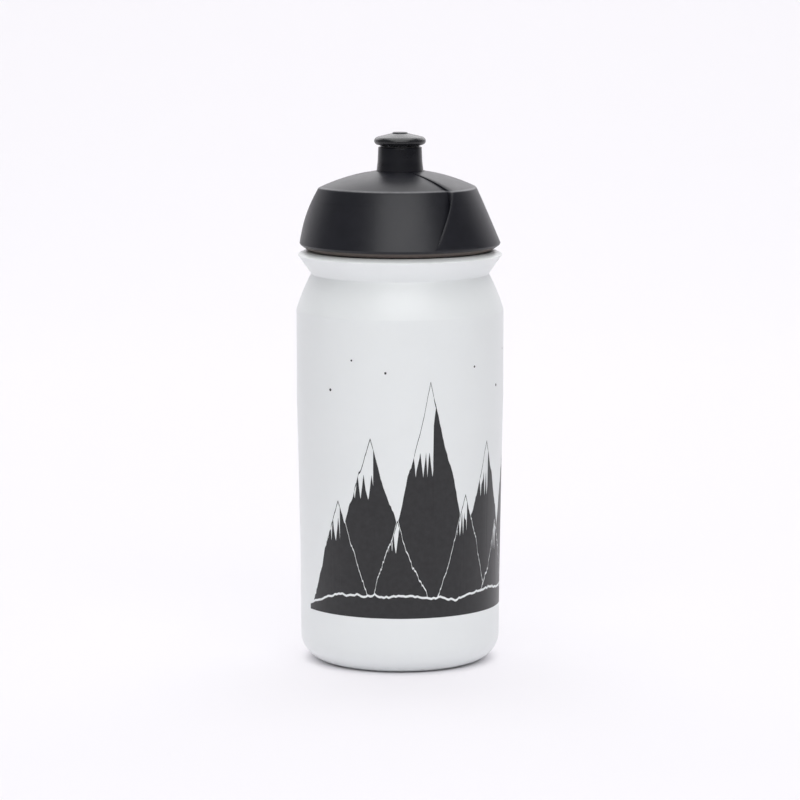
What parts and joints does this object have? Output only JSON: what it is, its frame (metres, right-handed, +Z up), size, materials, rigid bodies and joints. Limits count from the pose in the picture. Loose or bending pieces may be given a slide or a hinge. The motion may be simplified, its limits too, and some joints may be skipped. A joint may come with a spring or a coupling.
{
  "type": "water bottle",
  "caption": "Squeeze bottle for a bicycle cage with a stepped conical screw cap and a push-pull drinking nozzle.",
  "frame": {"origin": "centre of the ring that the bottle stands on, at floor level", "axes": "+Z up along the bottle's axis, -Y towards the pictured front, +X to the picture's right"},
  "size_m": [0.074, 0.074, 0.1895],
  "materials": {
    "shell": "satin white polyethylene",
    "cap": "fine matte black moulding",
    "seal": "matte grey elastomer",
    "sleeve": "satin black moulding",
    "bite": "satin black soft elastomer"
  },
  "bodies": {
    "bottle": {"bottle_body": "shell"},
    "seal": {"cap_gasket": "seal"},
    "cap": {"screw_cap": "cap"},
    "nozzle": {"nozzle_sleeve": "sleeve", "mouthpiece": "bite"}
  },
  "joints": [
    {"name": "cap_rise", "type": "slide", "parent": "bottle", "child": "seal", "axis": [0, 0, 1], "range_m": [0, 0.0047]},
    {"name": "cap_turn", "type": "hinge", "parent": "seal", "child": "cap", "pos_m": [0, 0, 0.15], "axis": [0, 0, 1], "range_deg": [0, 420]},
    {"name": "nozzle_pull", "type": "slide", "parent": "cap", "child": "nozzle", "axis": [0, 0, 1], "range_m": [0, 0.005]}
  ],
  "couplings": [
    {"joint": "cap_rise", "follows": "cap_turn", "m_per_rad": 0.00063662}
  ]
}
